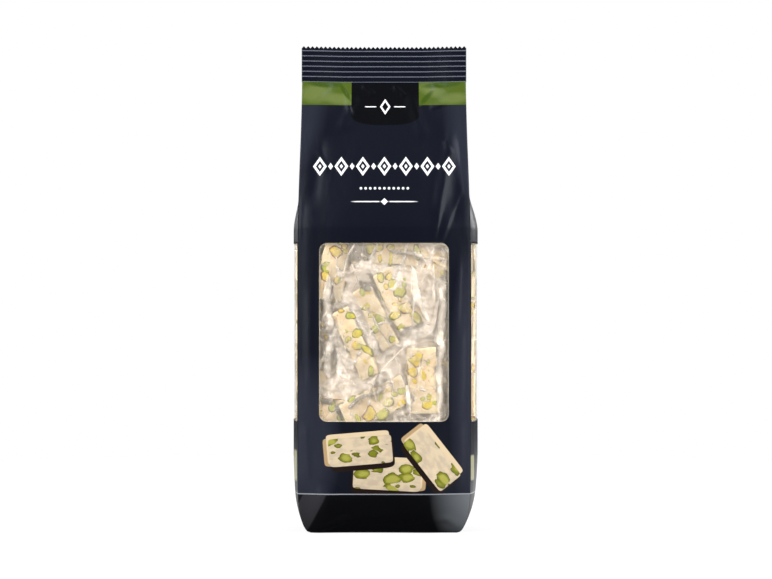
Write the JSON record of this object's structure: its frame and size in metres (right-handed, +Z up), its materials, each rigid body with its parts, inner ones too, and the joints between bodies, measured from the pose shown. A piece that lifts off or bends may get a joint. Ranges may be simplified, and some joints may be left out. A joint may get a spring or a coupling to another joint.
{
  "type": "bag of wrapped nougat bars",
  "caption": "Standing side-gusset bag with clear windows in front and sides, full of small individually wrapped nougat bars with pistachios; pinked ribbed top seal.",
  "frame": {"origin": "centre of the bag's footprint on the surface that it stands on", "axes": "+Z up, towards the top seal; the front panel faces -Y; +X to the right of a viewer who looks at the front"},
  "size_m": [0.0918, 0.05, 0.241],
  "materials": {
    "printed_film": "glossy dark printed film, near black blue, with a green band under the seal",
    "clear_film": "clear glossy film, slightly wavy",
    "nougat": "cream nougat with green pistachio kernels in clear crinkled wrappers"
  },
  "bodies": {
    "root": {"bag": "printed_film", "front_window": "clear_film", "left_window": "clear_film", "right_window": "clear_film", "nougat_heap": "nougat"}
  },
  "joints": []
}
